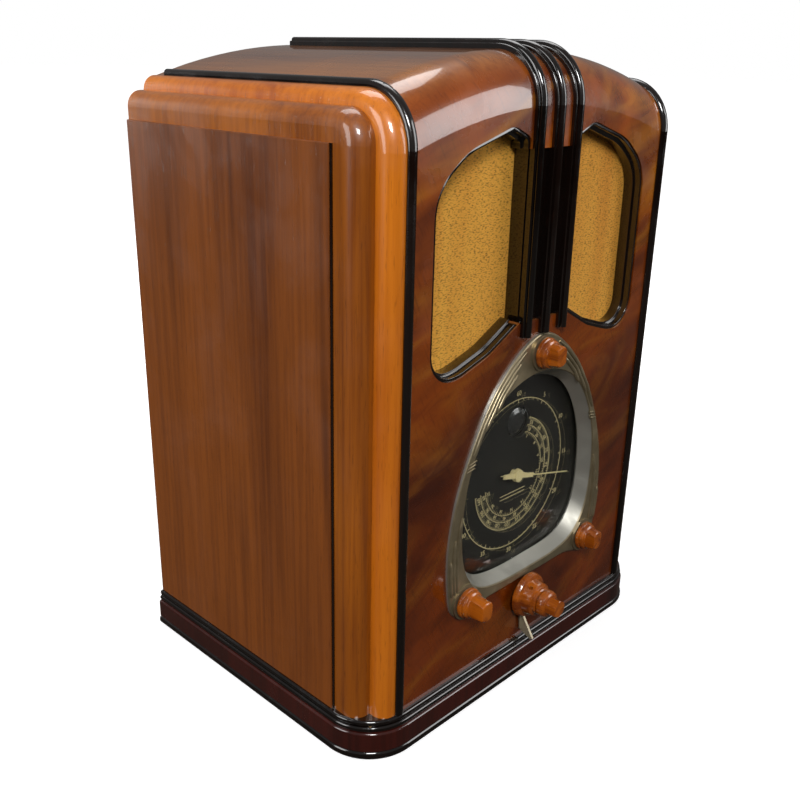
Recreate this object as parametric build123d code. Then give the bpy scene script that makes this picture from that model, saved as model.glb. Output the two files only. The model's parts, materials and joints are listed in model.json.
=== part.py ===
"""A late-1930s upright table radio in a stepped walnut cabinet, as an assembly of separate pieces.

Millimetres, +Z up. The front faces -Y and the origin is the middle of the base's underside.
Each function below makes one group of pieces, and save() writes one STEP file for each piece.
"""

import os

from build123d import *

# ---------------------------------------------------------------- driving dimensions
BASE_HALF_W = 217.0  # half the width over the plinth
BASE_FRONT = -162.3  # front of the plinth
FRONT = -154.0  # the flat face of the front panel
BACK = 162.0  # the open back of the cabinet
CABINET_Z = 38.5  # top of the plinth, where the cabinet starts
TOP_Z = 588.3  # crown of the arched top
ARCH_R = 556.0  # radius of the arched top
ROLL_R = 43.0  # radius of the roll from front to top
PANEL_T = 14.0  # thickness of the bent front and top panel
PANEL_HALF_W = 177.0
RAIL_HALF_W = 191.3  # outside of the inner shoulder rail
SHOULDER_HALF_W = 208.5  # outside of the outer shoulder rail
SIDE_HALF_W = 211.0  # outside of the flat side panel
SHOULDER_STEP = 17.0  # how far the outer shoulder sits behind the inner one
SIDE_FRONT = FRONT + 45.4  # front edge of the side panel
SIDE_TOP = 521.8
RAIL_T = 43.0
INLAY_W = 2.4
BEAD_X = 172.7
BEAD_BACK = BACK - 12.0  # where the beads and bars stop on the top
BAR_PITCH = 26.0
BAR_FOOT_Z = 354.0
CLOTH_Y = FRONT + 17.0  # the grille cloth's front face
MULLION_HALF_W = 33.0
POST_BACK = 3.0  # how far the middle post sits behind the front
GLASS_Y = FRONT + 10.0  # the dial glass's front face
DIAL_Y = FRONT + 20.0  # the dial plate's front face
DIAL_Z = 208.0  # height of the dial's centre
EYE_Z = 262.0
KNOB_SIDE_X, KNOB_SIDE_Z = 92.0, 118.5
KNOB_TOP_Z = 335.0
TUNING_Z = 87.5
SPEAKER_Z = 450.0
BRACKET_Y = -131.0  # front face of the dial bracket
BRACKET_T = 2.0
CHASSIS_FRONT, CHASSIS_BACK = -129.0, 96.0
CHASSIS_HALF_W = 152.0
CHASSIS_Z, CHASSIS_TOP = 37.0, 108.0
SHEET = 1.5  # chassis steel
GANG_Z = 150.0  # axis of the tuning capacitor
GANG_DRUM_R = 33.0
COARSE_DRUM_R = 11.0
POINTER_DRUM_R = 22.0
HAND_DRUM_R = 9.0
POINTER_TILT = 14.0  # how far both pointers stand below level at rest, in degrees
FIT = 0.08  # running fit of a shaft in its bearing
SWITCH_Z = 65.5  # axis of the band switch
LEVER_GEAR_R, SWITCH_GEAR_R = 13.0, 8.6


# ---------------------------------------------------------------- helpers
def save(shape, name):
    """Writes one piece, or a group of alike pieces, as parts/NAME.step."""
    solids = shape.solids() if hasattr(shape, "solids") else Compound(shape).solids()
    made = solids[0] if len(solids) == 1 else Compound(children=list(solids))
    export_step(made, f"parts/{name}.step")


def save_pair(shape, name):
    """Writes a right-hand piece and its mirror image as one group."""
    save(Compound(children=[shape, mirrored(shape)]), name)


def block(x0, x1, y0, y1, z0, z1):
    """A box between two corners."""
    middle = Pos((x0 + x1) / 2, (y0 + y1) / 2, (z0 + z1) / 2)
    return middle * Box(x1 - x0, y1 - y0, z1 - z0)


def rod_y(x, z, radius, y0, y1):
    """A round rod along Y."""
    return Pos(x, (y0 + y1) / 2, z) * Rot(90, 0, 0) * Cylinder(radius, y1 - y0)


def rod_z(x, y, radius, z0, z1):
    """A round rod along Z."""
    return Pos(x, y, (z0 + z1) / 2) * Cylinder(radius, z1 - z0)


def turned_y(x, z, points):
    """A turned piece about an axis along Y: points are (y, radius) pairs, closed along the axis."""
    outline = [(0, points[0][0]), *[(r, y) for y, r in points], (0, points[-1][0])]
    face = make_face(Polyline([Vector(r, y, 0) for r, y in outline], close=True))
    return Pos(x, 0, z) * revolve(face, Axis.Y, 360)


def turned_z(x, y, points):
    """A turned piece about an upright axis: points are (z, radius) pairs, closed along the axis."""
    outline = [(0, points[0][0]), *[(r, z) for z, r in points], (0, points[-1][0])]
    face = make_face(Polyline([Vector(r, 0, z) for r, z in outline], close=True))
    return Pos(x, y, 0) * revolve(face, Axis.Z, 360)


def mirrored(shape):
    """The same piece on the other side of the middle plane."""
    return mirror(shape, Plane.YZ)


def front_plate(flat, y0, y1):
    """Extrudes a flat face of the front plane, drawn in (x, z), from y0 to y1."""
    return extrude(Plane((0, y0, 0), (1, 0, 0), (0, -1, 0)) * flat, -(y1 - y0))


def polygon(*corners):
    """A flat face with straight sides, drawn in (x, z)."""
    return make_face(Polyline(*corners, close=True))


def rounded(corners):
    """A flat face with rounded corners: each corner is (x, z, radius)."""
    face = polygon(*[(x, z) for x, z, _ in corners])
    for x, z, radius in corners:
        if radius:
            face = fillet(face.vertices().sort_by_distance((x, z, 0))[0], radius)
    return face


def smooth_loop(half, grow=0.0):
    """A smooth face symmetrical about x = 0, from its right half listed bottom to top, grown outwards."""
    points = half + [(-x, z) for x, z in reversed(half[1:-1])]
    moved = []
    for n, (x, z) in enumerate(points):
        before, after = points[n - 1], points[(n + 1) % len(points)]
        run, rise = after[0] - before[0], after[1] - before[1]
        length = (run**2 + rise**2) ** 0.5
        moved.append((x + grow * rise / length, z - grow * run / length))
    return make_face(Spline(*moved, periodic=True))


def arch_z(x):
    """Height of the arched top at x."""
    return TOP_Z - ARCH_R + (ARCH_R**2 - x**2) ** 0.5


def envelope(inset, half_w, radius, z0):
    """The cabinet's body under the arched top, taken in by inset, with its front rolled into its top."""
    body = block(-half_w, half_w, FRONT + inset, BACK + inset, z0, TOP_Z + 10)
    body &= rod_y(0, TOP_Z - ARCH_R, ARCH_R - inset, FRONT - 5, BACK + inset + 5)
    roll = body.edges().filter_by(GeomType.CIRCLE).sort_by(Axis.Y)[0]
    return fillet(roll, radius)


def bent_rail(x0, x1, front, top, radius, thick, round_over):
    """A rail that runs up the front, turns over a corner and runs along the top to the back."""
    outer = block(x0, x1, front, BACK, CABINET_Z, top)
    corner = outer.edges().filter_by(Axis.X).sort_by(lambda e: e.center().Y - e.center().Z)[0]
    outer = fillet(corner, radius)
    if round_over:
        side = outer.faces().sort_by(Axis.X)[-1]
        outer = fillet([e for e in side.edges() if on_outline(e, front, top)], round_over)
    inner = block(x0 - 1, x1 + 1, front + thick, BACK + 1, CABINET_Z - 1, top - thick)
    if radius > thick:
        corner = inner.edges().filter_by(Axis.X).sort_by(lambda e: e.center().Y - e.center().Z)[0]
        inner = fillet(corner, radius - thick)
    return outer - inner


def on_outline(edge, front, top):
    """Whether an edge of a rail's side face is on its front, its corner or its top."""
    middle = edge.center()
    at_back = abs(middle.Y - BACK) < 0.1
    at_foot = abs(middle.Z - CABINET_Z) < 0.1
    return not (at_back or at_foot) and middle.Y < BACK and middle.Z <= top and middle.Y >= front


# ---------------------------------------------------------------- outlines of the front
def grille_face(inset=0.0):
    """The right-hand speaker opening, drawn in (x, z), with its edge moved in by inset."""
    corners = [
        (MULLION_HALF_W, 367, 0),
        (72, 346, 60),
        (110, 334, 60),
        (146.5, 333, 27),
        (146.5, 487, 45),
        (111, 514.5, 70),
        (56, 531, 18),
        (MULLION_HALF_W, 521, 8),
    ]
    moved = []
    for n, (x, z, radius) in enumerate(corners):
        before, after = corners[n - 1], corners[(n + 1) % len(corners)]
        ax, az = unit(x - before[0], z - before[1])
        bx, bz = unit(after[0] - x, after[1] - z)
        scale = inset / (1 + ax * bx + az * bz)
        moved.append((x - (az + bz) * scale, z + (ax + bx) * scale, max(radius - inset, 0)))
    return rounded(moved)


def unit(x, z):
    """A direction of length 1."""
    length = (x**2 + z**2) ** 0.5
    return x / length, z / length


def dial_face(grow=0.0):
    """The egg-shaped dial opening, drawn in (x, z)."""
    low = [(0, 114), (45, 115.5), (79, 127), (96, 153), (101, 190)]
    high = [(97, 232), (82, 270), (54, 302), (26, 314.5), (0, 318)]
    return smooth_loop(low + high, grow)


def escutcheon_face(grow=0.0):
    """The bezel's outside: a rounded triangle with a boss at each corner."""
    low = [(0, 107.5), (40, 107.3), (72, 105.5), (92, 101.5), (108, 110), (114, 129), (116.5, 150)]
    middle = [(117, 172), (114.5, 196), (108, 225), (96, 256), (80, 287)]
    high = [(61, 314), (39, 335), (18, 348.5), (0, 353)]
    return smooth_loop(low + middle + high, grow)


def knob_places():
    """Where the three small knobs stand, as (name, x, z)."""
    return [
        ("volume", -KNOB_SIDE_X, KNOB_SIDE_Z),
        ("tone", 0.0, KNOB_TOP_Z),
        ("selectivity", KNOB_SIDE_X, KNOB_SIDE_Z),
    ]


# ---------------------------------------------------------------- cabinet
def make_panel():
    """The veneered front, rolled over into the arched top, with its openings."""
    back = FRONT + PANEL_T + 1
    shell = envelope(0, PANEL_HALF_W, ROLL_R, CABINET_Z)
    shell -= envelope(PANEL_T, PANEL_HALF_W + 10, ROLL_R - PANEL_T, CABINET_Z - 10)
    hole = front_plate(grille_face(), FRONT - 1, back)
    shell -= hole
    shell -= mirrored(hole)
    shell -= block(-MULLION_HALF_W, MULLION_HALF_W, FRONT - 1, back, 366, 512)
    shell -= front_plate(dial_face(3.4), FRONT - 1, back)
    for _, x, z in knob_places():
        shell -= rod_y(x, z, 6.5, FRONT - 1, back)
    shell -= rod_y(0, TUNING_Z, 8.5, FRONT - 1, back)
    save(shell, "front_and_top_panel")


def make_rails():
    """The two stepped shoulders, the black bead and inlay, and the flat side panel, on each side."""
    top = arch_z(PANEL_HALF_W)
    inner = bent_rail(PANEL_HALF_W, RAIL_HALF_W, FRONT, top, ROLL_R, RAIL_T, 12.5)
    front = FRONT + SHOULDER_STEP
    outer = bent_rail(
        RAIL_HALF_W, SHOULDER_HALF_W, front, SIDE_TOP + 25, ROLL_R - SHOULDER_STEP, 25.0, 14.0
    )
    outer += block(RAIL_HALF_W, SHOULDER_HALF_W, front + 20, FRONT + RAIL_T, CABINET_Z, SIDE_TOP)
    bead = bent_rail(BEAD_X - 4.4, BEAD_X + 4.3, FRONT - 4.2, arch_z(BEAD_X) + 4.2, ROLL_R + 4.2, 8.0, 0)
    ridge = [e for e in bead.edges() if on_outline(e, FRONT - 5, TOP_Z) and is_outside(e, 4.2)]
    bead = fillet(ridge, 4.0) - envelope(0, PANEL_HALF_W, ROLL_R, 0)
    side = block(RAIL_HALF_W, SIDE_HALF_W, SIDE_FRONT, BACK, CABINET_Z, SIDE_TOP)
    side = chamfer(side.faces().sort_by(Axis.X)[-1].edges(), 0.6)
    side += block(RAIL_HALF_W, 204.0, SIDE_FRONT - INLAY_W, SIDE_FRONT, CABINET_Z, SIDE_TOP)
    inlay = block(204.0, SIDE_HALF_W - 1.4, SIDE_FRONT - INLAY_W, SIDE_FRONT, CABINET_Z, SIDE_TOP)
    pieces = {
        "inner_shoulders": inner,
        "outer_shoulders": outer,
        "shoulder_beads": bead - block(150, 200, BEAD_BACK, BACK + 5, 500, 600),
        "side_inlays": inlay,
    }
    for name, piece in pieces.items():
        save_pair(piece, name)
    save(side, "side_panel_right")
    save(mirrored(side), "side_panel_left")


def is_outside(edge, proud):
    """Whether a bead's edge lies on its outside, which is proud of the panel, and runs along it."""
    box = edge.bounding_box()
    length = max(box.size.Y, box.size.Z)
    return length > 20 and (box.min.Y < FRONT - proud + 0.1 or box.max.Z > arch_z(BEAD_X) + proud - 0.1)


def make_bars():
    """The three ebonised bars, each a step with a round crest, from above the dial to the back."""
    solid = envelope(0, PANEL_HALF_W, ROLL_R, 0)
    bars = []
    for x in (-BAR_PITCH, 0.0, BAR_PITCH):
        bar = None
        for half_w, proud, rounding in ((5.8, 3.4, 1.2), (3.4, 7.0, 3.2)):
            front, top, bend = FRONT - proud, TOP_Z + proud, ROLL_R + proud
            band = bent_rail(x - half_w, x + half_w, front, top, bend, 9 + proud, 0)
            outer = [e for e in band.edges() if along_band(e, proud)]
            band = fillet(outer, rounding)
            bar = band if bar is None else bar + band
        bar -= block(x - 9, x + 9, FRONT - 20, FRONT + 30, 0, BAR_FOOT_Z)
        bar -= solid
        bar += block(x - 5.8, x + 5.8, FRONT, FRONT + POST_BACK, 366, 512)
        bars.append(bar - block(x - 9, x + 9, BEAD_BACK, BACK + 5, 560, 620))
    save(Compound(children=bars), "centre_bars")


def along_band(edge, proud):
    """Whether a bar's edge runs along its outside, from the foot over the roll to the back."""
    box = edge.bounding_box()
    outside = box.min.Y < FRONT - proud + 0.1 or box.max.Z > TOP_Z + proud - 0.1
    return outside and box.size.X < 0.1 and max(box.size.Y, box.size.Z) > 20


def make_grilles():
    """The black stepped mouldings, the middle post, the cloth and the board behind them."""
    half_w, board_y = MULLION_HALF_W, FRONT + PANEL_T
    rings = front_plate(grille_face() - grille_face(6.0), FRONT + 7.0, CLOTH_Y)
    rings += front_plate(grille_face() - grille_face(3.0), FRONT + 1.0, FRONT + 7.0)
    rings -= block(0, half_w + 6.2, FRONT - 1, CLOTH_Y + 1, 366, 512)
    save_pair(rings, "grille_mouldings")
    post = block(-half_w, half_w, FRONT + POST_BACK, board_y, 366, 512)
    post += block(-half_w, half_w, board_y, CLOTH_Y, 358, 520)
    save(post, "grille_post")
    notch = block(-28, 28, CLOTH_Y - 1, CLOTH_Y + 20, 320, 354)
    cloth = block(-154, 154, CLOTH_Y, CLOTH_Y + 0.8, 326, 532)
    save(cloth - notch, "grille_cloth")
    board = block(-160, 160, CLOTH_Y + 0.8, CLOTH_Y + 10.8, 326, 532) - notch
    board -= rod_y(0, SPEAKER_Z, 84, CLOTH_Y, CLOTH_Y + 12)
    for x, z in speaker_bolt_places():
        board -= rod_y(x, z, 2.5, CLOTH_Y, CLOTH_Y + 12)
    save(board, "speaker_baffle")


def plinth_ring(half_w, front, radius, z0, z1, inner_half_w, inner_front):
    """A U-shaped layer of the plinth with rounded front corners, open at the back."""
    outer = block(-half_w, half_w, front, BACK, z0, z1)
    corners = [e for e in outer.edges().filter_by(Axis.Z) if e.center().Y < 0]
    outer = fillet(corners, radius)
    return outer - block(-inner_half_w, inner_half_w, inner_front, BACK + 1, z0 - 1, z1 + 1)


def round_rims(ring, half_w, front, radius, z_list):
    """Rounds the outside rims of a plinth layer at the given heights."""
    rims = []
    for e in ring.edges():
        box = e.bounding_box()
        level = box.size.Z < 0.01 and any(abs(box.min.Z - z) < 0.01 for z in z_list)
        outside = box.min.Y < front + 0.1 or box.max.X > half_w - 0.1 or box.min.X < -half_w + 0.1
        if level and outside and abs(e.center().Y - BACK) > 0.1:
            rims.append(e)
    return fillet(rims, radius)


def make_base():
    """The floor board and the three layers of plinth moulding round it."""
    board_half_w, board_front, board_top = 199.0, -146.0, 33.0
    save(block(-board_half_w, board_half_w, board_front, BACK, 0, board_top), "floor_board")
    foot = plinth_ring(BASE_HALF_W, BASE_FRONT, 50, 0, 8.5, board_half_w, board_front)
    foot = round_rims(foot, BASE_HALF_W, BASE_FRONT, 3.4, (0, 8.5))
    save(foot, "plinth_foot_bead")
    band = plinth_ring(BASE_HALF_W - 1.2, BASE_FRONT + 1.2, 49, 8.5, 27.5, board_half_w, board_front)
    band = round_rims(band, BASE_HALF_W - 1.2, BASE_FRONT + 1.2, 2.6, (27.5,))
    save(band, "plinth_band")
    half_w, front = BASE_HALF_W - 2.6, BASE_FRONT + 2.6
    low = plinth_ring(half_w, front, 47, 27.5, 33, board_half_w, board_front)
    low = round_rims(low, half_w, front, 2.3, (27.5, 33))
    half_w, front = BASE_HALF_W - 3.4, BASE_FRONT + 4.0
    high = plinth_ring(half_w, front, 46, 33, CABINET_Z, 184.0, -138.0)
    high = round_rims(high, half_w, front, 2.3, (33, CABINET_Z))
    save(low + high, "plinth_cap_bead")


# ---------------------------------------------------------------- dial
def make_dial():
    """The bezel with its sloped mouth, the tunnel, the glass, the printed plate and the tuning eye."""
    plate = front_plate(escutcheon_face(), FRONT - 3.2, FRONT)
    rim = [e for e in plate.edges() if e.bounding_box().max.Y < FRONT - 3.1]
    plate = fillet(rim, 1.8)
    for _, x, z in knob_places():
        plate += rod_y(x, z, 17.0, FRONT - 5.2, FRONT - 1)
    plate += front_plate(dial_face(3.2), FRONT - 1, GLASS_Y + 2.4)
    mouth = Plane((0, FRONT - 5.4, 0), (1, 0, 0), (0, -1, 0)) * dial_face(0.5)
    throat = Plane((0, GLASS_Y, 0), (1, 0, 0), (0, -1, 0)) * dial_face(-9.0)
    plate -= loft([mouth.faces()[0], throat.faces()[0]])
    plate -= front_plate(dial_face(-7.0), GLASS_Y, GLASS_Y + 5)
    for _, x, z in knob_places():
        plate -= rod_y(x, z, 5.6, FRONT - 8, FRONT + 14)
    save(plate, "dial_escutcheon")
    tunnel = front_plate(dial_face(3.2), GLASS_Y + 2.4, DIAL_Y)
    save(tunnel - front_plate(dial_face(0.5), GLASS_Y, DIAL_Y + 1), "dial_tunnel")
    save(front_plate(dial_face(-7.1), GLASS_Y, GLASS_Y + 2.4), "dial_glass")
    dial = front_plate(dial_face(3.0), DIAL_Y, DIAL_Y + 1.5)
    dial -= rod_y(0, DIAL_Z, 6.0, DIAL_Y - 1, DIAL_Y + 3)
    dial -= rod_y(0, EYE_Z, 15.0, DIAL_Y - 1, DIAL_Y + 3)
    save(dial, "dial_plate")
    dome = [(DIAL_Y - 1.5, 4.0), (DIAL_Y - 0.8, 9.0), (DIAL_Y + 1.0, 13.0), (DIAL_Y + 4, 14.0), (-90, 14.0)]
    save(turned_y(0, EYE_Z, dome), "tuning_eye_bulb")


def make_bracket():
    """The upright sheet-steel frame that carries the dial, the eye, the lamps and three controls."""
    y0, y1 = BRACKET_Y, BRACKET_Y + BRACKET_T
    frame = block(-116, 116, y0, y1, CHASSIS_Z + 30, 268)
    frame += block(-58, 58, y0, y1, 268, 320)
    frame += block(-24, 24, y0, y1, 320, 350)
    for _, x, z in knob_places():
        frame -= rod_y(x, z, 5.0, y0 - 1, y1 + 1)
    frame -= rod_y(0, DIAL_Z, 4.08, y0 - 1, y1 + 1)
    frame -= rod_y(0, EYE_Z, 14.4, y0 - 1, y1 + 1)
    frame -= rod_y(0, TUNING_Z, 7.5, y0 - 1, y1 + 1)
    for side in (-1, 1):
        frame -= rod_y(46 * side, 300, 6.2, y0 - 1, y1 + 1)
        frame += block(side * 24 - 5, side * 24 + 5, DIAL_Y + 1.5, y0, 300, 306)
        frame += block(side * 80 - 6, side * 80 + 6, DIAL_Y + 1.5, y0, 140, 146)
    save(frame, "dial_bracket")
    lamps = []
    for x in (-46, 46):
        lamp = turned_y(x, 300, [(-132.0, 2.5), (-131.2, 5.0), (-124, 5.0), (-122, 4.4), (-116, 4.4)])
        lamps.append(lamp + rod_y(x, 300, 8.2, y1, -110))
    save(Compound(children=lamps), "dial_lamps")


def make_pointers():
    """The station pointer on its tube, and the long thin hand on a rod that runs inside the tube."""
    set_off = Pos(0, 0, DIAL_Z) * Rot(0, POINTER_TILT, 0)
    tube = rod_y(0, DIAL_Z, 4.0, -138.8, -112) + rod_y(0, DIAL_Z, POINTER_DRUM_R, -115, -112)
    blade = front_plate(polygon((-26, 0), (0, 3.6), (30, 0), (0, -3.6)), -138.4, -137.6)
    tube += set_off * blade + rod_y(0, DIAL_Z, 6.5, -138.8, -137.2)
    save(tube - rod_y(0, DIAL_Z, 2.2 + FIT, -140, -111), "station_pointer")
    rod = rod_y(0, DIAL_Z, 2.2, -141.0, -103) + rod_y(0, DIAL_Z, HAND_DRUM_R, -109, -103)
    hand = block(-24, 24, -140.6, -139.8, -2.2, 2.2) + block(22, 84, -140.6, -139.8, -0.5, 0.5)
    rod += set_off * hand + rod_y(0, DIAL_Z, 6.0, -141.2, -139.4)
    save(rod, "split_second_hand")


def cord(z0, r0, z1, r1, y0, y1):
    """An endless dial cord round two drums, one above the other, just clear of both."""

    def loop(gap):
        low, high = r0 + gap, r1 + gap
        lean = (low - high) / (z1 - z0)
        level = (1 - lean**2) ** 0.5
        right = [(low * level, z0 + low * lean), (high * level, z1 + high * lean)]
        strip = polygon(*right, *[(-x, z) for x, z in reversed(right)])
        return strip + Pos(0, z0) * Circle(low) + Pos(0, z1) * Circle(high)

    return front_plate(loop(1.2), y0, y1) - front_plate(loop(0.4), y0 - 1, y1 + 1)


def make_cords():
    """The three cords of the tuning drive."""
    cords = [
        cord(TUNING_Z, COARSE_DRUM_R, GANG_Z, GANG_DRUM_R, -117.5, -115.5),
        cord(GANG_Z, GANG_DRUM_R, DIAL_Z, POINTER_DRUM_R, -114.5, -112.5),
        cord(TUNING_Z, HAND_DRUM_R, DIAL_Z, HAND_DRUM_R, -107, -105),
    ]
    save(Compound(children=cords), "dial_cords")


# ---------------------------------------------------------------- knobs and lever
def make_small_knobs():
    """Three small turned-wood knobs, each on its own steel shaft, with the control each one turns."""
    controls = []
    for name, x, z in knob_places():
        seat = FRONT - 6.0
        tip = seat - (24.0 if name == "volume" else 18.0)
        knob = turned_y(
            x,
            z,
            [
                (tip, 8.6),
                (tip + 1.0, 9.6),
                (seat - 8.5, 10.8),
                (seat - 7.5, 12.6),
                (seat - 5.5, 13.4),
                (seat - 3.8, 13.0),
                (seat - 3.4, 14.2),
                (seat - 1.2, 14.8),
                (seat, 14.4),
            ],
        )
        for side in (-1, 1):
            near, far = sorted((x + side * 6.6, x + side * 20))
            knob -= block(near, far, tip - 1, seat - 9.5, z - 12, z + 12)
        knob -= rod_y(x, z, 3.0, tip + 6, seat + 1)
        save(knob, f"{name}_knob")
        save(rod_y(x, z, 3.0, tip + 6, -118), f"{name}_shaft")
        can = rod_y(x, z, 10.0, BRACKET_Y + BRACKET_T, -112)
        can += rod_y(x, z, 5.0, BRACKET_Y - 7, BRACKET_Y + BRACKET_T)
        controls.append(can - rod_y(x, z, 3.0 + FIT, -140, -117))
    save(Compound(children=controls), "knob_controls")


def make_tuning_knobs():
    """The large coarse knob with the small fine knob in front, on nested shafts."""
    seat = FRONT - 4.4
    profile = [(-20.5, 12.0), (-19.5, 13.2), (-17.0, 13.2), (-16.0, 16.4), (-7.5, 17.8), (-6.5, 21.2)]
    profile += [(-4.5, 22.4), (-1.2, 22.8), (0, 22.0)]
    coarse = turned_y(0, TUNING_Z, [(seat + y, r) for y, r in profile])
    coarse -= rod_y(0, TUNING_Z, 5.0, seat - 16, seat + 1)
    coarse -= rod_y(0, TUNING_Z, 3.4, seat - 30, seat + 1)
    screw = Pos(0, seat - 12, TUNING_Z) * Rot(0, 60, 0) * Pos(-14, 0, 0) * Rot(0, 90, 0) * Cylinder(1.8, 8)
    save(coarse - screw, "coarse_tuning_knob")
    tube = rod_y(0, TUNING_Z, 5.0, seat - 16, -115) + rod_y(0, TUNING_Z, COARSE_DRUM_R, -118, -115)
    save(tube - rod_y(0, TUNING_Z, 3.0 + FIT, seat - 17, -111), "coarse_tube")
    tip = seat - 21.5
    profile = [(-19.0, 8.2), (-18.2, 9.2), (-8.5, 10.4), (-7.5, 12.4), (-5.0, 13.4), (-1.0, 13.4), (0, 12.4)]
    fine = turned_y(0, TUNING_Z, [(tip + y, r) for y, r in profile])
    for turn in range(6):
        flat = Rot(0, turn * 60, 0) * Pos(14.9, 0, 0) * Box(14, 20, 40)
        fine -= Pos(0, tip - 18.6, TUNING_Z) * flat
    fine -= rod_y(0, TUNING_Z, 3.0, tip - 12, tip + 1)
    save(fine, "fine_tuning_knob")
    shaft = rod_y(0, TUNING_Z, 3.0, tip - 12, -103) + rod_y(0, TUNING_Z, HAND_DRUM_R, -109, -103)
    save(shaft, "fine_tuning_shaft")


def make_lever():
    """The band lever: an arm with a fin below the tuning knobs, on a tube geared to the band switch."""
    y0, y1, z = FRONT - 3.6, FRONT - 1.8, TUNING_Z
    arm = front_plate(polygon((-8, z), (8, z), (3.0, z - 40), (-3.0, z - 40)), y0, y1)
    bend = [(y0, z - 25), (y1, z - 25), (y1, z - 42), (y0 - 11.6, z - 47.6), (y0 - 13.4, z - 46)]
    side_view = Polyline(*bend, close=True)
    tip = extrude(Plane((0, 0, 0), (0, 1, 0), (1, 0, 0)) * make_face(side_view), 1.3, both=True)
    lever = rod_y(0, z, 12.0, y0, y1) + arm + tip + rod_y(0, z, 7.0, y0, -124.5)
    lever += rod_y(0, z, LEVER_GEAR_R, -126.9, -124.5)
    save(lever - rod_y(0, z, 5.0 + FIT, FRONT - 8, -120), "band_lever")


# ---------------------------------------------------------------- tuning capacitor
def make_gang():
    """The three-section tuning capacitor: frame, fixed plates and the turning rotor."""
    y0, y1 = -100.0, -12.0
    frame = block(-38, 38, y0, y1, GANG_Z - 30, GANG_Z - 27)
    for y in (y0, y0 + 28.6, y0 + 57.2, y1 - 2.2):
        frame += block(-38, 38, y, y + 2.2, GANG_Z - 30, GANG_Z + 22)
    frame -= rod_y(0, GANG_Z, 5.0, y0 - 1, y1 + 1)
    for x in (-32, 32):
        for y in (-90, -24):
            frame += rod_z(x, y, 4.0, CHASSIS_TOP, GANG_Z - 29)
    save(frame, "gang_frame")
    stators, rotor = [], rod_y(0, GANG_Z, 5.0 - FIT, -118, -8)
    sector = rod_y(0, GANG_Z, 24, 0, 0.9) & block(-30, 30, -1, 2, GANG_Z - 30, GANG_Z)
    for section in range(3):
        start = y0 + 5.0 + section * 28.6
        for n in range(5):
            y = start + n * 4.2
            plate = block(-35, -6.5, y, y + 0.9, GANG_Z - 18, GANG_Z + 18)
            plate -= rod_y(0, GANG_Z, 6.2, y - 1, y + 2)
            stators.append(plate)
            if n < 4:
                rotor += Pos(0, y + 2.1, 0) * sector
        stators.append(block(-37.9, -35, start - 1, start + 18.5, GANG_Z - 14, GANG_Z + 14))
    joined = stators[0]
    for piece in stators[1:]:
        joined += piece
    save(joined, "gang_stators")
    rotor += rod_y(0, GANG_Z, GANG_DRUM_R, -118, -112)
    save(rotor, "gang_rotor")


# ---------------------------------------------------------------- chassis
def tube_places():
    """The valves on the chassis, as (x, y, kind)."""
    return [
        (-126, 72, "tall"),
        (-82, 72, "tall"),
        (-38, 72, "tall"),
        (36, 72, "tall"),
        (-131, 32, "shielded"),
        (-58, 22, "shielded"),
        (-131, -8, "shielded"),
        (-92, -10, "shielded"),
        (-131, -48, "shielded"),
        (-62, -80, "shielded"),
        (62, -76, "shielded"),
        (60, -20, "shielded"),
    ]


def can_places():
    """The square coil cans on the chassis, as (x, y)."""
    return [(-108, -88), (-92, -48), (-94, 32), (-18, 22), (106, -92)]


def make_chassis():
    """The folded steel pan with its sockets, cans, capacitors, transformer and switch."""
    w, z0, z1 = CHASSIS_HALF_W, CHASSIS_Z, CHASSIS_TOP
    pan = block(-w, w, CHASSIS_FRONT, CHASSIS_BACK, z0, z1)
    pan -= block(-w + SHEET, w - SHEET, CHASSIS_FRONT + SHEET, CHASSIS_BACK - SHEET, z0 - 1, z1 - SHEET)
    pan -= rod_y(0, TUNING_Z, 7.5, CHASSIS_FRONT - 1, CHASSIS_FRONT + 4)
    pan -= block(-28, 28, -119.5, -102, z1 - 4, z1 + 1)
    pan -= rod_y(-120, 62, 8.0, CHASSIS_BACK - 4, CHASSIS_BACK + 1)
    for x, y, _ in tube_places():
        pan -= rod_z(x, y, 12.5, z1 - 4, z1 + 1)
    cushions, bolts = [], []
    for side in (-1, 1):
        x = side * 138
        near, far = sorted((side * 126, side * w))
        for y in (CHASSIS_FRONT + 12, CHASSIS_BACK - 12):
            cushions.append(rod_z(x, y, 9, 33, z0) - rod_z(x, y, 3.2, 32, z0 + 1))
            pan += block(near, far, y - 10, y + 10, z0, z0 + SHEET)
            pan -= rod_z(x, y, 3.2, z0 - 1, z0 + 4)
            bolts.append(rod_z(x, y, 3.0, 33.0, z0 + 9) + rod_z(x, y, 6.0, z0 + SHEET, z0 + 5))
    save(Compound(children=cushions), "chassis_cushions")
    save(pan, "chassis_pan")
    save(Compound(children=bolts), "chassis_bolts")


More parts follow.
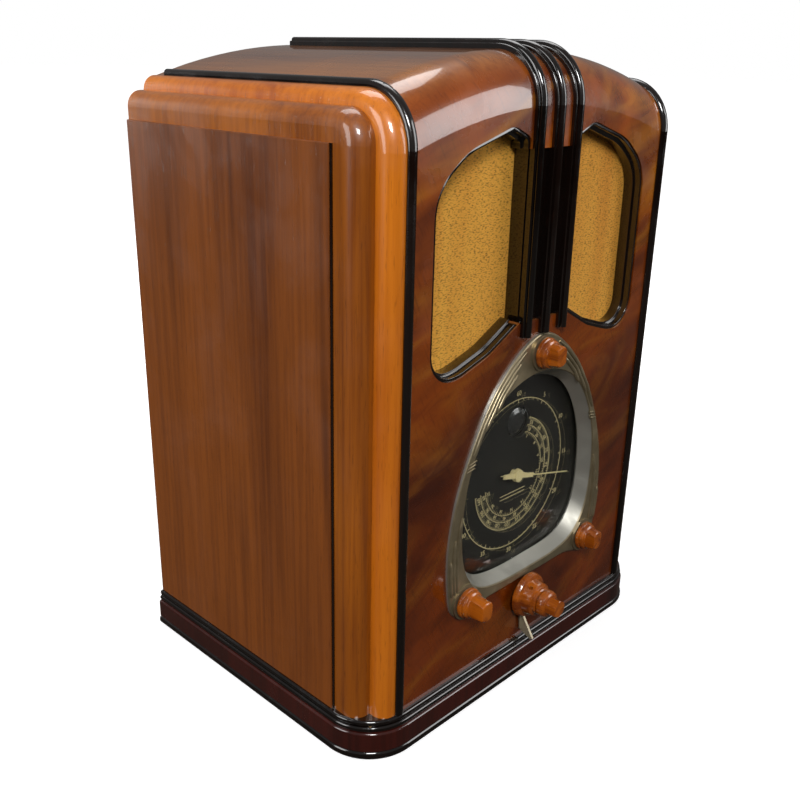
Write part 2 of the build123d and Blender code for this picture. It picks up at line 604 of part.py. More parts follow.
def make_valves():
    """Glass valves with their bases, sockets and sheet-metal shields."""
    z = CHASSIS_TOP
    bases, bulbs, shields = [rod_y(0, EYE_Z, 15.5, -90, -68)], [], []
    for x, y, kind in tube_places():
        base = turned_z(x, y, [(z + 2, 13.5), (z + 3.5, 14.2), (z + 22, 14.2), (z + 24, 12.8)])
        bases.append(base + rod_z(x, y, 12.4, z - 5, z) + rod_z(x, y, 16.5, z, z + 2.5))
        if kind == "tall":
            foot = [(z + 24, 11.5), (z + 34, 13.5), (z + 48, 20.0), (z + 62, 21.5)]
            crown = [(z + 76, 20.0), (z + 90, 14.0), (z + 99, 10.5), (z + 103, 4.0)]
            bulbs.append(turned_z(x, y, foot + crown))
        else:
            bulbs.append(turned_z(x, y, [(z + 24, 11.5), (z + 60, 11.5), (z + 68, 8.5), (z + 72, 3.5)]))
            shell = turned_z(x, y, [(z + 24.5, 15.8), (z + 58, 15.4), (z + 64, 13.2), (z + 66, 13.2)])
            shell -= turned_z(x, y, [(z + 24, 15.0), (z + 57.4, 14.6), (z + 63.4, 12.4), (z + 67, 12.4)])
            shields.append(shell)
    save(Compound(children=bases), "valve_bases")
    save(Compound(children=bulbs), "valve_bulbs")
    save(Compound(children=shields), "valve_shields")


def make_top_parts():
    """The mains transformer, the coil cans and the electrolytic capacitors on the chassis."""
    z = CHASSIS_TOP
    cans = []
    for x, y in can_places():
        can = block(x - 17, x + 17, y - 17, y + 17, z, z + 82)
        can = fillet(can.edges().filter_by(Axis.Z), 4)
        cans.append(fillet(can.faces().sort_by(Axis.Z)[-1].edges(), 2))
    save(Compound(children=cans), "coil_cans")
    core = block(70, 140, 22, 86, z + 26, z + 52)
    bells = [core]
    for z0, z1 in ((z, z + 26), (z + 52, z + 82)):
        bell = block(76, 134, 30, 78, z0, z1)
        bells.append(fillet(bell.edges().filter_by(Axis.Z), 8))
    save(Compound(children=bells), "mains_transformer")
    smooth = []
    for x, y in ((104, -20), (104, -56)):
        smooth.append(fillet(rod_z(x, y, 16, z, z + 76).faces().sort_by(Axis.Z)[-1].edges(), 2.5))
    save(Compound(children=smooth), "smoothing_capacitors")


def make_under_parts():
    """The band switch and the small parts inside the pan, and the rear terminals."""
    wafers = None
    for y in (-96.0, -66.0, -36.0):
        wafer = rod_y(0, SWITCH_Z, 20, y, y + 3) - rod_y(0, SWITCH_Z, 4.0 + FIT, y - 1, y + 4)
        wafers = wafer if wafers is None else wafers + wafer
    for x in (-15, 15):
        hanger = block(x - 2, x + 2, -96, -93, SWITCH_Z, CHASSIS_TOP - SHEET)
        wafers += rod_y(x, SWITCH_Z, 2.0, -96, -33) + hanger
    save(wafers, "band_switch_wafers")
    spindle = rod_y(0, SWITCH_Z, 4.0, -126, -30)
    save(spindle + rod_y(0, SWITCH_Z, SWITCH_GEAR_R, -126.9, -124.5), "band_switch_spindle")
    strip = [block(40, 110, CHASSIS_BACK, CHASSIS_BACK + 3, 56, 76)]
    strip += [rod_y(x, 66, 4.0, CHASSIS_BACK + 3, CHASSIS_BACK + 8) for x in (52, 75, 98)]
    save(Compound(children=strip), "aerial_terminals")
    gland = rod_y(-120, 62, 11.0, CHASSIS_BACK, CHASSIS_BACK + 3.5)
    gland += rod_y(-120, 62, 7.9, CHASSIS_BACK - 3, CHASSIS_BACK)
    save(gland - rod_y(-120, 62, 4.2, CHASSIS_BACK - 8, CHASSIS_BACK + 6), "mains_cord_grommet")


# ---------------------------------------------------------------- speaker
def speaker_bolt_places():
    """The four speaker bolts, as (x, z)."""
    reach = 65.0
    return [(sx * reach, SPEAKER_Z + sz * reach) for sx in (-1, 1) for sz in (-1, 1)]


def make_speaker():
    """The basket, the cone with its coil, the magnet pot, the output transformer and the bolts."""
    rim_y = CLOTH_Y + 10.8
    shell = [(rim_y, 97), (rim_y + 3, 97), (rim_y + 3, 86), (rim_y + 50, 50), (rim_y + 58, 46)]
    basket = turned_y(0, SPEAKER_Z, shell)
    hollow = [(rim_y - 1, 84), (rim_y + 3, 84), (rim_y + 48, 46.5), (rim_y + 55.5, 43)]
    basket -= turned_y(0, SPEAKER_Z, hollow)
    for turn in range(4):
        window = Rot(0, 45 + turn * 90, 0) * Pos(66, rim_y + 26, 0) * Rot(0, 0, -38) * Box(40, 16, 54)
        basket -= Pos(0, 0, SPEAKER_Z) * window
    for x, z in speaker_bolt_places():
        basket -= rod_y(x, z, 2.5, rim_y - 1, rim_y + 12)
    basket -= rod_y(0, SPEAKER_Z, 15.5, rim_y + 50, rim_y + 60)
    save(basket, "speaker_basket")
    outside = [(rim_y + 1.0, 83), (rim_y + 2.2, 83), (rim_y + 44, 16.0), (rim_y + 66, 13.6)]
    inside = [(rim_y, 82.5), (rim_y + 1.2, 81.3), (rim_y + 42.6, 14.6), (rim_y + 67, 12.8)]
    cone = turned_y(0, SPEAKER_Z, outside) - turned_y(0, SPEAKER_Z, inside)
    cap = [(rim_y + 31, 6.0), (rim_y + 34.5, 14.0), (rim_y + 40, 19.6), (rim_y + 42, 17.0)]
    cone += turned_y(0, SPEAKER_Z, cap)
    save(cone, "speaker_cone")
    pot = rod_y(0, SPEAKER_Z, 44, rim_y + 58, rim_y + 104)
    pot = fillet(pot.edges().filter_by(GeomType.CIRCLE).sort_by(Axis.Y)[-1], 3)
    pot -= rod_y(0, SPEAKER_Z, 15.0, rim_y + 57, rim_y + 74)
    save(pot + rod_y(0, SPEAKER_Z, 12.0, rim_y + 60, rim_y + 76), "field_coil_pot")
    core = block(-26, 26, rim_y + 66, rim_y + 100, SPEAKER_Z + 46, SPEAKER_Z + 82)
    core += block(-20, 20, rim_y + 76, rim_y + 92, SPEAKER_Z + 40, SPEAKER_Z + 46)
    save(core - rod_y(0, SPEAKER_Z, 44, rim_y + 50, rim_y + 110), "output_transformer")
    bolts = []
    for x, z in speaker_bolt_places():
        shank = rod_y(x, z, 2.5, CLOTH_Y + 1.0, rim_y + 8)
        bolts.append(shank + rod_y(x, z, 4.2, rim_y + 3, rim_y + 6.5))
    save(Compound(children=bolts), "speaker_bolts")


def make_blocks():
    """Glue blocks that tie the panel, rails, side panels and floor board together inside."""
    blocks = []
    for side in (-1, 1):
        for y in (-60.0, 60.0):
            x0, x1 = sorted((side * 167, side * RAIL_HALF_W))
            blocks.append(block(x0, x1, y - 28, y + 28, CABINET_Z, CABINET_Z + 22))
    save(Compound(children=blocks), "corner_glue_blocks")


def main():
    os.makedirs("parts", exist_ok=True)
    for old in os.listdir("parts"):
        os.remove(os.path.join("parts", old))
    make_panel()
    make_rails()
    make_bars()
    make_grilles()
    make_base()
    make_blocks()
    make_dial()
    make_bracket()
    make_pointers()
    make_cords()
    make_small_knobs()
    make_tuning_knobs()
    make_lever()
    make_gang()
    make_chassis()
    make_valves()
    make_top_parts()
    make_under_parts()
    make_speaker()


main()
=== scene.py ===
# %% [markdown]
# # A walnut table radio
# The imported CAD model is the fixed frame: every cabinet board, knob and valve already has its true size
# and place. This lesson gives each of them its finish, and models what CAD left plain: the grille cloth,
# the printing on the dial, the ribs of the bronze bezel and the rounded grille mouldings.

import json
import math

import bpy
from mathutils import Euler, Matrix, Vector


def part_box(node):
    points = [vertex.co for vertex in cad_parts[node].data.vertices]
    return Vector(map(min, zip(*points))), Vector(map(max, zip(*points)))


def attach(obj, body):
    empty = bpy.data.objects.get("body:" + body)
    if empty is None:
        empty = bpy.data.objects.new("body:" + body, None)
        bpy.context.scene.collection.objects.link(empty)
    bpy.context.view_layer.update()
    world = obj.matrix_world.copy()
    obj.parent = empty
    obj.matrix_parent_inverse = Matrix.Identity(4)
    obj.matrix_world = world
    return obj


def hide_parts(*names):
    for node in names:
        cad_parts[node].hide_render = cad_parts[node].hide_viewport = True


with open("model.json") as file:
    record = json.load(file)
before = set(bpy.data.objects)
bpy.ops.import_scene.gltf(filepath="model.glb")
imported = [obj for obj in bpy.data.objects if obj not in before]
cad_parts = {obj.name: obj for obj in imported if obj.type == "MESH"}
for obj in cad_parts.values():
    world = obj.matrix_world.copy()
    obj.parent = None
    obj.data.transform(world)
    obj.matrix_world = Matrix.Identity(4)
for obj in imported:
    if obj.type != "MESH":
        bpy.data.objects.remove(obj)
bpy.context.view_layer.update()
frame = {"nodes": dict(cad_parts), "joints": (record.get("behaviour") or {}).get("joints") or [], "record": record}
nodes = frame["nodes"]
MM = 0.001
print(len(nodes), "nodes")

# %% [markdown]
# Small helpers come first. Everything is deselected before a new piece starts, because an operator works
# on all that is selected, and a finished piece gets its transforms applied so that its object sits at the
# origin.

# %% Helpers
DIAL_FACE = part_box("dial_plate")[0].y  # front of the dial plate
DIAL_Z = next(j for j in frame["joints"] if j["name"] == "pointer_turn")["pos_m"][2]
UPRIGHT = (math.radians(90), 0, 0)
BAR_PROUD = 7 * MM  # how far the centre bars stand in front of the panel
FRONT_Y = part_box("centre_bars")[0].y + BAR_PROUD


def deselect():
    """Leaves edit mode and selects nothing."""
    if bpy.context.object and bpy.context.object.mode != "OBJECT":
        bpy.ops.object.mode_set(mode="OBJECT")
    bpy.ops.object.select_all(action="DESELECT")


def select(*objects):
    """Selects these objects only; the first is the active one."""
    deselect()
    for o in objects:
        o.select_set(True)
    bpy.context.view_layer.objects.active = objects[0]


def settle(obj, name):
    """Applies the transforms and names the piece."""
    select(obj)
    bpy.ops.object.transform_apply(location=True, rotation=True, scale=True)
    obj.name = name
    obj.data.name = name
    return obj


def joined(objects, name):
    """Joins the copies into one piece."""
    select(*objects)
    if len(objects) > 1:
        bpy.ops.object.join()
    return settle(bpy.context.object, name)


def tone(code):
    """A linear colour from a painter's hex code."""
    parts = [int(code[n : n + 2], 16) / 255 for n in (1, 3, 5)]
    return [*(((c + 0.055) / 1.055) ** 2.4 if c > 0.04045 else c / 12.92 for c in parts), 1.0]


# %% [markdown]
# ## Finishes
# Every finish is a node tree. `Finish` is a short way to write one: it holds a material, its Principled
# shader and the object coordinates, and each method adds one node. Object coordinates are metres in the
# row frame, so a scale of 100 means a hundred cells a metre.


# %% A short way to write materials
class Finish:
    def __init__(self, name, colour, rough=0.4, metal=0.0, coat=0.0, coat_rough=0.05):
        self.material = bpy.data.materials.new(name)
        self.material.use_nodes = True
        self.tree = self.material.node_tree
        self.shader = self.tree.nodes["Principled BSDF"]
        self.set("Base Color", tone(colour))
        self.set("Roughness", rough)
        self.set("Metallic", metal)
        self.set("Coat Weight", coat)
        self.set("Coat Roughness", coat_rough)
        self.place = self.node("ShaderNodeTexCoord").outputs["Object"]

    def set(self, socket, value):
        self.shader.inputs[socket].default_value = value

    def node(self, kind, **settings):
        made = self.tree.nodes.new(kind)
        for key, value in settings.items():
            setattr(made, key, value)
        return made

    def link(self, source, target):
        self.tree.links.new(source, target)

    def feed(self, source, socket):
        self.link(source, self.shader.inputs[socket])

    def group(self, tree, **values):
        """Places a node group and sets or links its inputs."""
        made = self.node("ShaderNodeGroup", node_tree=tree)
        for key, value in values.items():
            socket = made.inputs[key.replace("_", " ")]
            if hasattr(value, "is_output"):
                self.link(value, socket)
            else:
                socket.default_value = value
        return made.outputs

    def stretched(self, scale, turn=(0, 0, 0), shift=(0, 0, 0)):
        """Object coordinates, stretched or turned."""
        mapping = self.node("ShaderNodeMapping")
        self.link(self.place, mapping.inputs["Vector"])
        mapping.inputs["Scale"].default_value = scale
        mapping.inputs["Rotation"].default_value = turn
        mapping.inputs["Location"].default_value = shift
        return mapping.outputs["Vector"]

    def bump(self, height, distance, strength=1.0):
        made = self.node("ShaderNodeBump")
        made.inputs["Distance"].default_value = distance
        made.inputs["Strength"].default_value = strength
        self.link(height, made.inputs["Height"])
        self.feed(made.outputs["Normal"], "Normal")
        return made


# %% [markdown]
# A group is built once and used by many finishes. The little `Wire` class makes an empty one with named
# sockets and adds its nodes.


# %% Node groups
class Wire:
    """Builds a node group."""

    def __init__(self, name, inputs, outputs):
        self.tree = bpy.data.node_groups.new(name, "ShaderNodeTree")
        for label, kind, value in inputs:
            socket = self.tree.interface.new_socket(label, in_out="INPUT", socket_type="NodeSocket" + kind)
            if value is not None:
                socket.default_value = value
        for label, kind in outputs:
            self.tree.interface.new_socket(label, in_out="OUTPUT", socket_type="NodeSocket" + kind)
        self.start = self.tree.nodes.new("NodeGroupInput").outputs
        self.end = self.tree.nodes.new("NodeGroupOutput").inputs

    def put(self, socket, value):
        if hasattr(value, "is_output"):
            self.tree.links.new(value, socket)
        else:
            socket.default_value = value

    def noise(self, vector, scale, detail=3.0, rough=0.5, distortion=0.0):
        made = self.tree.nodes.new("ShaderNodeTexNoise")
        for key, value in (("Vector", vector), ("Scale", scale), ("Detail", detail)):
            self.put(made.inputs[key], value)
        made.inputs["Roughness"].default_value = rough
        self.put(made.inputs["Distortion"], distortion)
        return made.outputs["Fac"]

    def scaled(self, vector, scale):
        made = self.tree.nodes.new("ShaderNodeVectorMath")
        made.operation = "MULTIPLY"
        self.put(made.inputs[0], vector)
        self.put(made.inputs[1], scale)
        return made.outputs[0]

    def math(self, operation, a, b=0.5, clamp=False):
        made = self.tree.nodes.new("ShaderNodeMath")
        made.operation = operation
        made.use_clamp = clamp
        self.put(made.inputs[0], a)
        self.put(made.inputs[1], b)
        return made.outputs[0]

    def mix(self, fac, a, b, blend="MIX"):
        made = self.tree.nodes.new("ShaderNodeMix")
        made.data_type = "RGBA"
        made.blend_type = blend
        self.put(made.inputs["Factor"], fac)
        self.put(made.inputs["A"], a)
        self.put(made.inputs["B"], b)
        return made.outputs["Result"]

    def levels(self, fac, low, high):
        """0 below low, 1 above high, smooth between."""
        made = self.tree.nodes.new("ShaderNodeMapRange")
        made.interpolation_type = "SMOOTHSTEP"
        self.put(made.inputs["Value"], fac)
        made.inputs["From Min"].default_value = low
        made.inputs["From Max"].default_value = high
        return made.outputs["Result"]


# %% [markdown]
# ### Straight-grained veneer
# Walnut cut straight shows long fine lines with slow drifts of light and dark, and short open pores. The
# grain runs along Z of the coordinates it is given, so each finish turns its own coordinates to suit the
# board.

# %% Straight grain group
g = Wire(
    "Straight grain",
    [("Vector", "Vector", None), ("Light", "Color", tone("#b06a28")), ("Dark", "Color", tone("#5c3018")),
     ("Figure", "Float", 0.5)],
    [("Color", "Color"), ("Height", "Float")],
)
drift = g.noise(g.scaled(g.start["Vector"], (1, 1, 0.13)), 9.0, 3.0, 0.5, 1.2)
lines = g.noise(g.scaled(g.start["Vector"], (1, 1, 0.025)), 210.0, 4.0, 0.6, 0.3)
pores = g.noise(g.scaled(g.start["Vector"], (1, 1, 0.07)), 900.0, 2.0, 0.5, 0.0)
streak = g.noise(g.scaled(g.start["Vector"], (1, 1, 0.05)), 24.0, 2.0, 0.5, 0.6)
amount = g.math("MULTIPLY", g.levels(drift, 0.3, 0.72), g.start["Figure"])
shade = g.math("ADD", amount, g.math("MULTIPLY", g.levels(lines, 0.35, 0.7), 0.34), True)
base = g.mix(shade, g.start["Light"], g.start["Dark"])
dark_lines = g.math("MULTIPLY", g.levels(streak, 0.6, 0.78), 0.5)
base = g.mix(dark_lines, base, g.start["Dark"], "MULTIPLY")
open_pores = g.levels(pores, 0.6, 0.72)
g.put(g.end["Color"], g.mix(g.math("MULTIPLY", open_pores, 0.28), base, tone("#2a0f04")))
depth = g.math("MULTIPLY", open_pores, 0.6)
g.put(g.end["Height"], g.math("SUBTRACT", g.math("MULTIPLY", lines, 0.4), depth))
straight_grain = g.tree

# %% [markdown]
# ### Figured veneer
# The front is cut from a burl: cloudy patches of gold, orange and dark red drift across it, with fine
# ripples.

# %% Figured grain group
g = Wire(
    "Figured grain",
    [("Vector", "Vector", None), ("Gold", "Color", tone("#ce8420")), ("Orange", "Color", tone("#a8500a")),
     ("Dark", "Color", tone("#481804"))],
    [("Color", "Color"), ("Height", "Float")],
)
clouds = g.noise(g.scaled(g.start["Vector"], (0.6, 1, 1.2)), 6.0, 3.0, 0.5, 1.2)
patches = g.noise(g.scaled(g.start["Vector"], (0.55, 1, 1.5)), 10.0, 3.0, 0.5, 1.8)
ripples = g.noise(g.scaled(g.start["Vector"], (0.35, 1, 1.6)), 85.0, 3.0, 0.6, 1.0)
fibres = g.noise(g.scaled(g.start["Vector"], (1, 1, 0.1)), 520.0, 3.0, 0.6, 0.5)
base = g.mix(g.levels(clouds, 0.34, 0.7), g.start["Orange"], g.start["Dark"])
base = g.mix(g.math("MULTIPLY", g.levels(patches, 0.46, 0.76), 0.5), base, g.start["Gold"])
base = g.mix(g.math("MULTIPLY", g.levels(patches, 0.48, 0.24), 0.5), base, g.start["Dark"])
base = g.mix(g.math("MULTIPLY", g.levels(ripples, 0.46, 0.76), 0.26), base, g.start["Dark"])
g.put(g.end["Color"], g.mix(g.math("MULTIPLY", g.levels(fibres, 0.5, 0.75), 0.3), base, tone("#2c0c02")))
g.put(g.end["Height"], g.math("ADD", ripples, g.math("MULTIPLY", fibres, 0.5)))
figured_grain = g.tree

# %% [markdown]
# ### Handling and dust
# Old lacquer is never even. This group gives a roughness that wanders between two values, with fine
# rubbed marks.

# %% Worn polish group
g = Wire(
    "Worn polish",
    [("Vector", "Vector", None), ("Smooth", "Float", 0.1), ("Dull", "Float", 0.35),
     ("Scale", "Float", 14.0)],
    [("Roughness", "Float"), ("Mask", "Float")],
)
broad = g.noise(g.start["Vector"], g.start["Scale"], 4.0, 0.6, 0.4)
fine = g.noise(g.start["Vector"], 700.0, 2.0, 0.6, 0.0)
mask = g.math("ADD", g.levels(broad, 0.4, 0.75), g.math("MULTIPLY", g.levels(fine, 0.6, 0.8), 0.3), True)
span = g.math("SUBTRACT", g.start["Dull"], g.start["Smooth"])
g.put(g.end["Roughness"], g.math("ADD", g.start["Smooth"], g.math("MULTIPLY", span, mask)))
g.put(g.end["Mask"], mask)
worn_polish = g.tree


# %% [markdown]
# ### Cabinet finishes
# Four veneers share the straight grain with their own colours. The lacquer is the shader's clear coat.


# %% Veneers
def veneer(name, light, dark, figure, shift=(0, 0, 0), coat=1.0, bump=0.00006):
    """A straight-grained board; shift moves it to another part of the log."""
    made = Finish(name, light, 0.4, 0.0, coat, 0.06)
    board_place = made.stretched((1, 1, 1), (0, 0, 0), shift)
    grain = made.group(
        straight_grain, Vector=board_place, Light=tone(light), Dark=tone(dark), Figure=figure
    )
    made.feed(grain["Color"], "Base Color")
    polish = made.group(worn_polish, Vector=made.place, Smooth=0.3, Dull=0.5)
    made.feed(polish["Roughness"], "Roughness")
    made.bump(grain["Height"], bump)
    return made


side_wood = veneer("side walnut", "#8a4a18", "#54280e", 0.6, coat=0.4, shift=(0.3, 0.11, 0))
inner_wood = veneer("inner rail walnut", "#d87a14", "#a4500a", 0.6, shift=(0.07, 0.2, 0))
outer_wood = veneer("outer rail walnut", "#b4640f", "#743808", 0.7, shift=(0.5, 0, 0))
plain_wood = veneer("bare pine", "#b08c5c", "#8a6438", 0.6, coat=0.0, bump=0.00015)

front_wood = Finish("figured front walnut", "#a04a0c", 0.35, 0.0, 1.0, 0.05)
figure = front_wood.group(figured_grain, Vector=front_wood.stretched((1, 0.35, 1), (0.0, 0.45, 0.0)))
top_turn = (math.radians(90), 0, 0)
top_grain = front_wood.group(
    straight_grain, Vector=front_wood.stretched((1, 1, 1), top_turn), Light=tone("#a8682e"),
    Dark=tone("#6a3818"), Figure=0.7,
)
geometry = front_wood.node("ShaderNodeNewGeometry")
split = front_wood.node("ShaderNodeSeparateXYZ")
front_wood.link(geometry.outputs["Normal"], split.inputs[0])
is_top = front_wood.node("ShaderNodeMapRange", interpolation_type="SMOOTHSTEP")
front_wood.link(split.outputs["Z"], is_top.inputs["Value"])
is_top.inputs["From Min"].default_value = 0.55
is_top.inputs["From Max"].default_value = 0.98
blend = front_wood.node("ShaderNodeMix", data_type="RGBA")
front_wood.link(is_top.outputs["Result"], blend.inputs["Factor"])
# The figured front is made darker and redder towards the bottom, by height.
height = front_wood.node("ShaderNodeSeparateXYZ")
front_wood.link(front_wood.place, height.inputs[0])
darkening = front_wood.node("ShaderNodeMapRange", interpolation_type="SMOOTHSTEP")
front_wood.link(height.outputs["Z"], darkening.inputs["Value"])
darkening.inputs["From Min"].default_value = 0.52
darkening.inputs["From Max"].default_value = 0.2
darkening.inputs["To Max"].default_value = 0.75
darker_below = front_wood.node("ShaderNodeMix", data_type="RGBA", blend_type="MULTIPLY")
front_wood.link(darkening.outputs["Result"], darker_below.inputs["Factor"])
front_wood.link(figure["Color"], darker_below.inputs["A"])
darker_below.inputs["B"].default_value = tone("#8a6a60")
front_wood.link(darker_below.outputs["Result"], blend.inputs["A"])
front_wood.link(top_grain["Color"], blend.inputs["B"])
front_wood.feed(blend.outputs["Result"], "Base Color")
front_wood.bump(figure["Height"], 0.00004)
front_polish = front_wood.group(worn_polish, Vector=front_wood.place, Smooth=0.22, Dull=0.42)
front_wood.feed(front_polish["Roughness"], "Roughness")

# %% [markdown]
# The black parts are wood under black lacquer: dark brown shows where the lacquer is thin. The plinth's
# band is deep red mahogany.


# %% Lacquered parts
def lacquer(name, colour, thin_colour, coat=1.0, smooth=0.12, dull=0.3):
    made = Finish(name, colour, smooth, 0.0, coat, 0.04)
    polish = made.group(worn_polish, Vector=made.place, Smooth=smooth, Dull=dull, Scale=22.0)
    made.feed(polish["Roughness"], "Roughness")
    grain = made.group(
        straight_grain, Vector=made.place, Light=tone(colour), Dark=tone(thin_colour), Figure=0.5
    )
    made.feed(grain["Color"], "Base Color")
    made.bump(grain["Height"], 0.00002)
    return made


ebony = lacquer("ebonised wood", "#050403", "#160a06")
mahogany = lacquer("mahogany", "#40130c", "#1c0805")
knob_wood = Finish("knob walnut", "#a84c10", 0.3, 0.0, 1.0, 0.05)
grain = knob_wood.group(
    straight_grain, Vector=knob_wood.stretched((5, 1, 5), (math.radians(90), 0, 0)), Light=tone("#bc6210"),
    Dark=tone("#6e2c06"), Figure=0.8,
)
knob_wood.feed(grain["Color"], "Base Color")
knob_polish = knob_wood.group(worn_polish, Vector=knob_wood.place, Smooth=0.15, Dull=0.4)
knob_wood.feed(knob_polish["Roughness"], "Roughness")
knob_wood.bump(grain["Height"], 0.00004)


# %% [markdown]
# ### Metals, plastics and the rest
# Painted and plated sheet, moulded plastic and rubber share one recipe: a base colour that drifts a
# little towards a second one, and a worn roughness.


# %% Plain recipe with drift
def mottled(name, colour, second, rough, metal=0.0, scale=60.0, bump=0.00003, coat=0.0, spread=0.15):
    made = Finish(name, colour, rough, metal, coat)
    noise = made.node("ShaderNodeTexNoise")
    made.link(made.place, noise.inputs["Vector"])
    noise.inputs["Scale"].default_value = scale
    noise.inputs["Detail"].default_value = 5.0
    mix = made.node("ShaderNodeMix", data_type="RGBA")
    made.link(noise.outputs["Fac"], mix.inputs["Factor"])
    mix.inputs["A"].default_value = tone(colour)
    mix.inputs["B"].default_value = tone(second)
    made.feed(mix.outputs["Result"], "Base Color")
    dull = min(rough + spread, 1.0)
    polish = made.group(worn_polish, Vector=made.place, Smooth=rough, Dull=dull, Scale=scale / 2)
    made.feed(polish["Roughness"], "Roughness")
    made.bump(noise.outputs["Fac"], bump)
    return made


bronze = mottled("antique bronze", "#ac9e80", "#6c6048", 0.32, 0.72, 55.0, 0.00006, spread=0.25)
depth = bronze.node("ShaderNodeSeparateXYZ")
bronze.link(bronze.place, depth.inputs[0])
sloped = bronze.node("ShaderNodeMapRange", interpolation_type="SMOOTHSTEP")
bronze.link(depth.outputs["Y"], sloped.inputs["Value"])
sloped.inputs["From Min"].default_value = FRONT_Y - 2.6 * MM
sloped.inputs["From Max"].default_value = FRONT_Y - 1.2 * MM
silver = bronze.node("ShaderNodeMix", data_type="RGBA")
bronze.link(sloped.outputs["Result"], silver.inputs["Factor"])
bronze.link(bronze.shader.inputs["Base Color"].links[0].from_socket, silver.inputs["A"])
silver.inputs["B"].default_value = tone("#b4b2a8")
bronze.feed(silver.outputs["Result"], "Base Color")
steel = mottled("plated steel", "#a8a8a4", "#888884", 0.28, 1.0, 120.0)
chassis_steel = mottled("chassis plating", "#9c9a90", "#77756c", 0.38, 0.9, 45.0)
spun = mottled("spun aluminium", "#c4c4c2", "#a4a4a2", 0.34, 1.0, 80.0)
enamel = mottled("black enamel", "#101011", "#1c1c1e", 0.3, 0.0, 70.0, 0.0001, 0.4)
hammered = mottled("hammered grey paint", "#2c2e30", "#45484a", 0.35, 0.4, 260.0, 0.0004)
bakelite = mottled("bakelite", "#160e0a", "#2a1a10", 0.28, 0.0, 50.0)
dial_black = mottled("dial black", "#0b0c0a", "#15160f", 0.42, 0.0, 18.0, 0.00001)
tunnel = mottled("tunnel paint", "#1a1a17", "#262620", 0.5, 0.0, 40.0)
cream = mottled("cream print", "#f0e2ac", "#d8c688", 0.5, 0.0, 300.0, 0.00001)
paper = mottled("cone paper", "#4c4234", "#362e24", 0.95, 0.0, 160.0, 0.0003)
board = mottled("hardboard", "#3a2c1c", "#2a2014", 0.95, 0.0, 130.0, 0.0002)
rubber = mottled("rubber", "#141414", "#202020", 0.8, 0.0, 90.0, 0.0001)
waxed = mottled("waxed cord", "#9a8458", "#75623c", 0.8, 0.0, 900.0, 0.0003)
lever_metal = mottled("lever plating", "#b8ad92", "#8c8068", 0.32, 0.45, 100.0)

bulb = mottled("silvered bulb", "#5a5c5a", "#161816", 0.06, 0.55, 24.0, 0.0, 1.0, 0.04)
glass = Finish("dial glass", "#f2f6f2", 0.02)
glass.set("Transmission Weight", 1.0)
glass.set("IOR", 1.45)
glass.set("Alpha", 0.16)
smear = glass.group(worn_polish, Vector=glass.place, Smooth=0.01, Dull=0.05)
glass.feed(smear["Roughness"], "Roughness")

# %% [markdown]
# ### The cloth
# Grille cloth is a coarse gold weave with brown threads among the gold. Two waves at right angles give
# the over and under of the threads, and slow upright bands show how the bolt of cloth was woven.

# %% Cloth finish
THREAD = 1.15 * MM
cloth = Finish("gold grille cloth", "#d9a545", 0.85)
waves = []
for axis in ("X", "Z"):
    wave = cloth.node("ShaderNodeTexWave", bands_direction=axis, wave_profile="SIN")
    cloth.link(cloth.place, wave.inputs["Vector"])
    wave.inputs["Scale"].default_value = 0.314 / THREAD
    wave.inputs["Distortion"].default_value = 1.4
    wave.inputs["Detail"].default_value = 2.0
    wave.inputs["Detail Scale"].default_value = 0.35
    waves.append(wave.outputs["Fac"])
weave = cloth.node("ShaderNodeMath", operation="MAXIMUM")
cloth.link(waves[0], weave.inputs[0])
cloth.link(waves[1], weave.inputs[1])
slubs = cloth.node("ShaderNodeTexNoise")
cloth.link(cloth.stretched((330, 1, 900)), slubs.inputs["Vector"])
slubs.inputs["Scale"].default_value = 1.0
slubs.inputs["Detail"].default_value = 3.0
bands = cloth.node("ShaderNodeTexNoise")
cloth.link(cloth.stretched((24, 1, 2.5)), bands.inputs["Vector"])
bands.inputs["Scale"].default_value = 1.0
colours = cloth.node("ShaderNodeValToRGB")
cloth.link(slubs.outputs["Fac"], colours.inputs["Fac"])
colours.color_ramp.elements[0].position = 0.3
colours.color_ramp.elements[0].color = tone("#8c5a10")
colours.color_ramp.elements[1].position = 0.5
colours.color_ramp.elements[1].color = tone("#ffc44c")
shaded = cloth.node("ShaderNodeMix", data_type="RGBA", blend_type="MULTIPLY")
cloth.link(weave.outputs[0], shaded.inputs["Factor"])
cloth.link(colours.outputs["Color"], shaded.inputs["B"])
shaded.inputs["A"].default_value = tone("#c88c24")
banded = cloth.node("ShaderNodeMix", data_type="RGBA")
cloth.link(bands.outputs["Fac"], banded.inputs["Factor"])
cloth.link(shaded.outputs["Result"], banded.inputs["A"])
cloth.link(colours.outputs["Color"], banded.inputs["B"])
cloth.feed(banded.outputs["Result"], "Base Color")
cloth.bump(weave.outputs[0], 0.0004)

# %% [markdown]
# ## Finishes on the CAD nodes
# Each node keeps its mesh and gets the finish of its slot.

